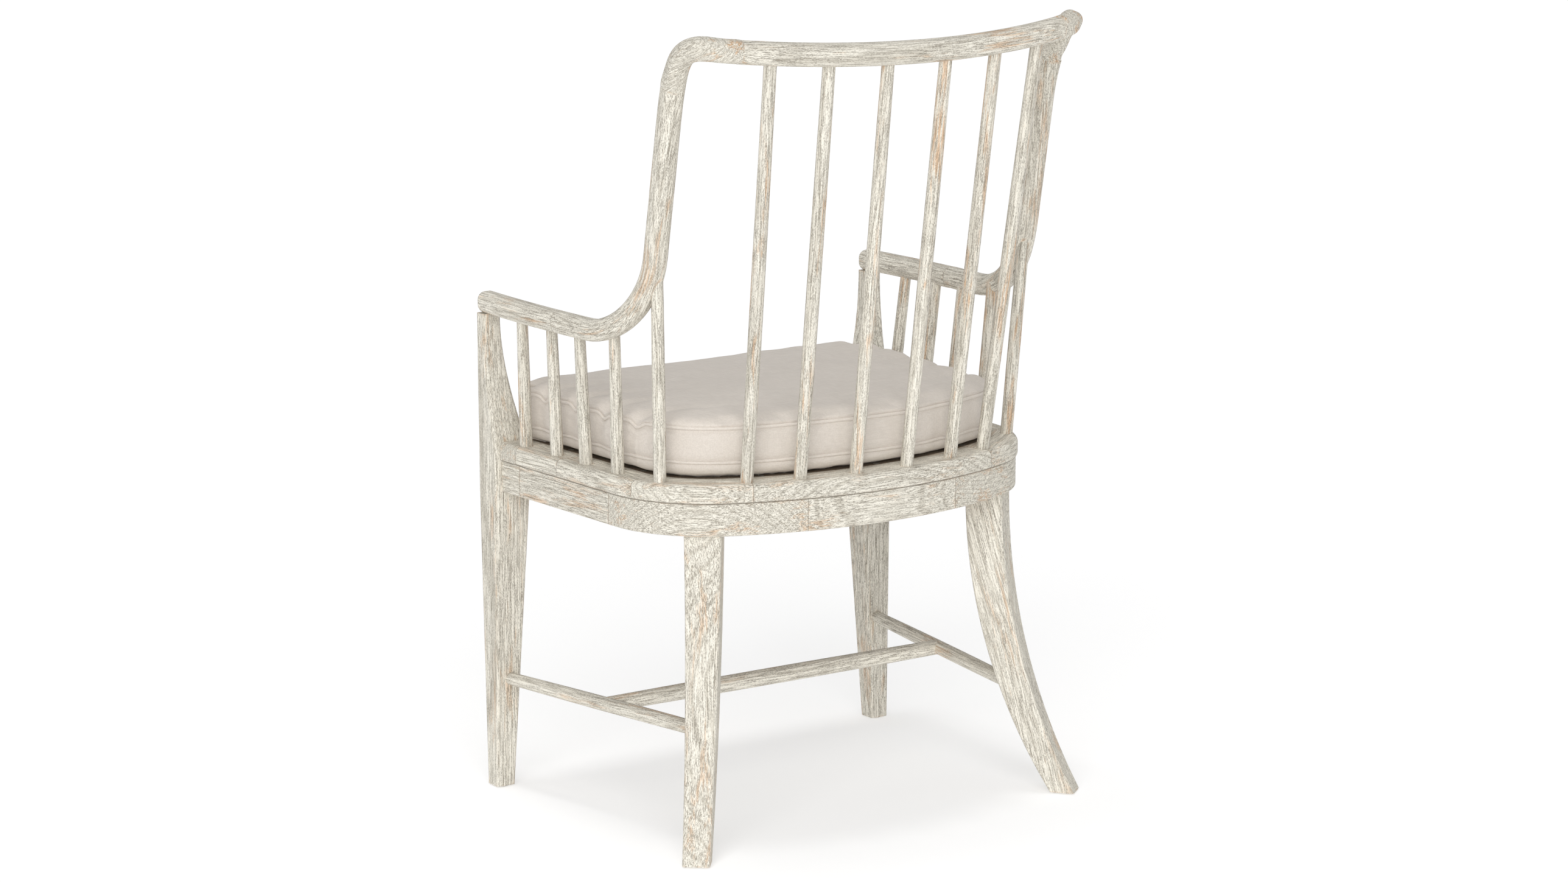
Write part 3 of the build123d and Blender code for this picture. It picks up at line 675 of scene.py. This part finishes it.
def shape_cushion(body):
    """Seam grooves, tucked bottom edge, crown, lowered back corners, puffs and puckers."""
    mesh = body.data
    co = points(mesh)
    normal = vertex_normals(mesh)
    flat = normal.copy()
    flat[:, 2] = 0
    sideways = np.linalg.norm(flat, axis=1)
    flat = flat / np.maximum(sideways, 1e-6)[:, None]
    side = smooth_step(sideways, UPRIGHT_LOW, UPRIGHT_HIGH)
    for seam in (LOWER_SEAM, UPPER_SEAM):
        groove = np.exp(-((co[:, 2] - seam) / SEAM_WIDTH) ** 2) * side
        co -= flat * (SEAM_DEPTH * groove)[:, None]
    low = np.clip((LOWER_SEAM - co[:, 2]) / (LOWER_SEAM - cad_seat[0].z), 0, 1)
    co -= flat * (BOTTOM_TUCK * low ** 2 * smooth_step(sideways, 0.02, 0.3))[:, None]

    middle = (cad_seat[0] + cad_seat[1]) / 2
    half = (cad_seat[1] - cad_seat[0]) / 2
    u = np.clip(np.abs(co[:, 0] - middle.x) / half.x, 0, 1)
    v = np.clip(np.abs(co[:, 1] - middle.y) / half.y, 0, 1)
    dome = (1 - u ** CROWN_POWER) * (1 - v ** CROWN_POWER)
    upper = smooth_step(co[:, 2], UPPER_SEAM - EDGE_EASE, cad_seat[1].z - EDGE_EASE)
    co[:, 2] += CROWN * dome * upper
    back = smooth_step(co[:, 1], middle.y, cad_seat[1].y)
    corner = smooth_step(u, CORNER_START, 1.0) * back
    rise = smooth_step(co[:, 2], LOWER_SEAM, cad_seat[1].z)
    co[:, 2] -= CORNER_DROP * corner * rise
    pull = CORNER_PULL * corner * smooth_step(co[:, 2], LOWER_SEAM, UPPER_SEAM) * side
    co -= flat * pull[:, None]
    puff = np.array([
        noise.noise(Vector(p) * PUFF_SCALE) + 0.5 * noise.noise(Vector(p) * PUFF_FINE_SCALE)
        for p in co
    ])
    co += normal * (PUFF * puff)[:, None]
    ripple = np.array([
        noise.noise(Vector((p[0] * PUCKER_SCALE, p[1] * PUCKER_SCALE, p[2] * PUCKER_STRETCH)))
        for p in co
    ])
    for seam in (LOWER_SEAM, UPPER_SEAM):
        beside = np.exp(-((co[:, 2] - seam) / PUCKER_REACH) ** 2)
        co += normal * (PUCKER * ripple * beside)[:, None]
    return co


def crease(co, side):
    """Folds that run in from the arm spindles over the top, and soft bulges between them."""
    upper = smooth_step(co[:, 2], LOWER_SEAM, UPPER_SEAM)
    gap = np.ones(len(co))
    fold = np.zeros(len(co))
    for name in sorted(n for n in nodes if n.startswith("arm_spindle")):
        post = points(nodes[name].data)
        foot = post[(post[:, 2] > FOOT_LOW) & (post[:, 2] < FOOT_HIGH)]
        if not len(foot):
            foot = post[post[:, 2] < post[:, 2].min() + SPINDLE_END]
        x, y = foot[:, 0].mean(), foot[:, 1].mean()
        inward = (x - co[:, 0]) * np.sign(x)
        across = co[:, 1] - y - CREASE_SLANT * inward
        fade = np.exp(-np.clip(inward, 0, None) / CREASE_LENGTH)
        near = np.exp(-(across / CREASE_WIDTH) ** 2) * fade
        fold = np.maximum(fold, np.where(inward > FOLD_START, near, 0))
        held = np.exp(-((co[:, 1] - y) / BULGE_GAP) ** 2) * (np.abs(co[:, 0] - x) < BULGE_REACH)
        gap = np.minimum(gap, 1 - held)
    arms = smooth_step(np.abs(co[:, 0]), ARM_SIDE_START, ARM_SIDE_FULL) * (co[:, 1] < ARM_SIDE_BACK)
    co[:, 2] -= CREASE * fold * upper
    co[:, 0] += np.sign(co[:, 0]) * BULGE * gap * arms * side
    return co


def dent(co):
    """Keeps the pad off every spindle that stands beside it."""
    for name in sorted(nodes):
        if "spindle" not in name:
            continue
        post = points(nodes[name].data)
        low = post[post[:, 2] < post[:, 2].min() + SPINDLE_END].mean(0)
        high = post[post[:, 2] > post[:, 2].max() - SPINDLE_END].mean(0)
        lean = (high - low) / (high[2] - low[2])
        axis = low + lean * (co[:, 2] - low[2])[:, None]
        off = co - axis
        off[:, 2] = 0
        far = np.linalg.norm(off, axis=1)
        keep = SPINDLE_RADIUS + SPINDLE_GAP
        push = np.where(
            far < keep,
            keep + SPINDLE_DENT - far,
            SPINDLE_DENT * np.exp(-((far - keep) / SPINDLE_REACH) ** 2),
        )
        co += off / np.maximum(far, 1e-6)[:, None] * push[:, None]
    return co


def seam_loop(body, height):
    """The closed line where the cushion's side crosses a height, evenly spaced."""
    cut = bmesh.new()
    cut.from_mesh(body.data)
    found = bmesh.ops.bisect_plane(
        cut, geom=cut.verts[:] + cut.edges[:] + cut.faces[:],
        plane_co=(0, 0, height), plane_no=(0, 0, 1),
    )
    edges = [e for e in found["geom_cut"] if isinstance(e, bmesh.types.BMEdge)]
    beside = {}
    for edge in edges:
        a, b = edge.verts
        beside.setdefault(a, []).append(b)
        beside.setdefault(b, []).append(a)
    start = max(beside, key=lambda vertex: (vertex.co.y, vertex.co.x))
    line, last, here = [start.co.copy()], None, start
    while True:
        onward = [v for v in beside[here] if v is not last]
        last, here = here, onward[0]
        if here is start or len(line) > LOOP_LIMIT:
            break
        line.append(here.co.copy())
    cut.free()
    line = np.array(line)
    closed = np.vstack([line, line[:1]])
    size = np.concatenate([[0.0], np.cumsum(np.linalg.norm(np.diff(closed, axis=0), axis=1))])
    count = int(size[-1] / WELT_STEP)
    spots = np.linspace(0, size[-1], count, endpoint=False)
    even = np.stack([np.interp(spots, size, closed[:, k]) for k in range(3)], axis=1)
    for _ in range(WELT_SMOOTHING):
        even = (np.roll(even, 1, axis=0) + 2 * even + np.roll(even, -1, axis=0)) / 4
    even[:, 2] = height
    return even


def welt(name, line, radius):
    """A cord sewn into a seam: a tube round a closed line, a little proud of the cloth."""
    ahead = np.roll(line, -1, axis=0) - np.roll(line, 1, axis=0)
    ahead = ahead / np.linalg.norm(ahead, axis=1)[:, None]
    up = np.array((0.0, 0.0, 1.0))
    out = np.cross(ahead, up)
    centre = line.mean(0)
    if ((line - centre) * out).sum() < 0:
        out = -out
    count = WELT_SIDES
    made = []
    for step in range(count):
        angle = 2 * math.pi * step / count
        proud = radius * (WELT_PROUD + math.cos(angle))
        made.append(line + out * proud + up * (radius * math.sin(angle)))
    rows = len(line)
    vertices = np.stack(made, axis=1).reshape(-1, 3)
    faces = []
    for row in range(rows):
        after = (row + 1) % rows
        for step in range(count):
            beside = (step + 1) % count
            corners = ((row, step), (row, beside), (after, beside), (after, step))
            faces.append([around_line * count + place for around_line, place in corners])
    mesh = bpy.data.meshes.new(name)
    mesh.from_pydata(vertices.tolist(), [], faces)
    fix = bmesh.new()
    fix.from_mesh(mesh)
    bmesh.ops.recalc_face_normals(fix, faces=fix.faces)
    fix.to_mesh(mesh)
    fix.free()
    piece = bpy.data.objects.new(name, mesh)
    scene.collection.objects.link(piece)
    return piece


def wander(obj):
    """Lets the seams rise and dip a little, in cushion and welts alike."""
    co = points(obj.data)
    rise = np.array([
        noise.noise(Vector((p[0] * WANDER_SCALE, p[1] * WANDER_SCALE, WANDER_SLICE)))
        for p in co
    ])
    amount = smooth_step(co[:, 2], cad_seat[0].z + 0.002, LOWER_SEAM)
    co[:, 2] += WANDER * rise * amount
    put(obj.data, co)


def cushion():
    """The pad and its two welts, shaped together so that every fold runs through all three."""
    body = cushion_mesh()
    inflate(body)
    smooth = body.modifiers.new("fine", "SUBSURF")
    smooth.levels = 1
    smooth.render_levels = 1
    bake(body)
    put(body.data, shape_cushion(body))
    pieces = [body]
    for name, height in (("cushion_welt_lower", LOWER_SEAM), ("cushion_welt_upper", UPPER_SEAM)):
        pieces.append(welt(name, seam_loop(body, height), WELT_RADIUS))
    for piece in pieces:
        co = points(piece.data)
        side = side_share(piece.data) if piece is body else np.ones(len(co))
        put(piece.data, dent(crease(co, side)))
        wander(piece)
        piece.data.polygons.foreach_set("use_smooth", [True] * len(piece.data.polygons))
        piece.data.materials.clear()
        give(piece, linen_material(piece.name, 1.0 if piece is body else WELT_SHADE))
        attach(piece, "cushion")
    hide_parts("seat_cushion")


# ---------------------------------------------------------------- stage

def around(turn, rise, distance):
    """A point at an angle round the chair; turn 0 is in front, on the -Y side."""
    a, e = math.radians(turn), math.radians(rise)
    return Vector((math.sin(a) * math.cos(e), -math.cos(a) * math.cos(e), math.sin(e))) * distance


def camera():
    data = bpy.data.cameras.new("camera")
    data.lens = CAMERA_LENS
    data.sensor_width = SENSOR_WIDTH
    data.sensor_fit = "HORIZONTAL"
    view = bpy.data.objects.new("camera", data)
    scene.collection.objects.link(view)
    back = around(CAMERA_AZIMUTH, CAMERA_ELEVATION, 1.0)
    view.location = Vector(CAMERA_AIM) + back * CAMERA_DISTANCE
    view.rotation_euler = (-back).to_track_quat("-Z", "Y").to_euler()
    scene.camera = view


def sun(name, turn, rise, strength, softness):
    data = bpy.data.lights.new(name, "SUN")
    data.energy = strength
    data.angle = math.radians(softness)
    light = bpy.data.objects.new(name, data)
    scene.collection.objects.link(light)
    light.location = around(turn, rise, 5.0)
    light.rotation_euler = light.location.to_track_quat("Z", "Y").to_euler()


def stage():
    """White floor without an edge, soft daylight, and a plain view transform."""
    mesh = bpy.data.meshes.new("floor")
    side = FLOOR_HALF
    corners = [(-side, -side, 0), (side, -side, 0), (side, side, 0), (-side, side, 0)]
    mesh.from_pydata(corners, [], [(0, 1, 2, 3)])
    floor = bpy.data.objects.new("floor", mesh)
    scene.collection.objects.link(floor)
    material, t = new_material("floor")
    diffuse = t.add("ShaderNodeBsdfDiffuse", {"Color": (FLOOR_DIFFUSE,) * 3 + (1.0,)})
    glow = t.add("ShaderNodeEmission", {"Strength": FLOOR_GLOW})
    both = t.add("ShaderNodeAddShader", {0: diffuse.outputs[0], 1: glow.outputs[0]})
    t.add("ShaderNodeOutputMaterial", {"Surface": both.outputs[0]})
    floor.data.materials.append(material)

    world = bpy.data.worlds.new("studio")
    world.use_nodes = True
    background = world.node_tree.nodes["Background"].inputs
    background["Color"].default_value = (1.0, 1.0, 1.0, 1.0)
    background["Strength"].default_value = WORLD_LIGHT
    scene.world = world
    sun("key", KEY_TURN, KEY_RISE, KEY_LIGHT, KEY_SOFTNESS)
    sun("top", TOP_TURN, TOP_RISE, TOP_LIGHT, TOP_SOFTNESS)
    scene.view_settings.view_transform = "Standard"
    scene.view_settings.look = "None"


camera()
stage()
for index, bent in enumerate(BENT, FIRST_BENT):
    bent_piece(bent, index)
wood_pieces()
fixings()
cushion()
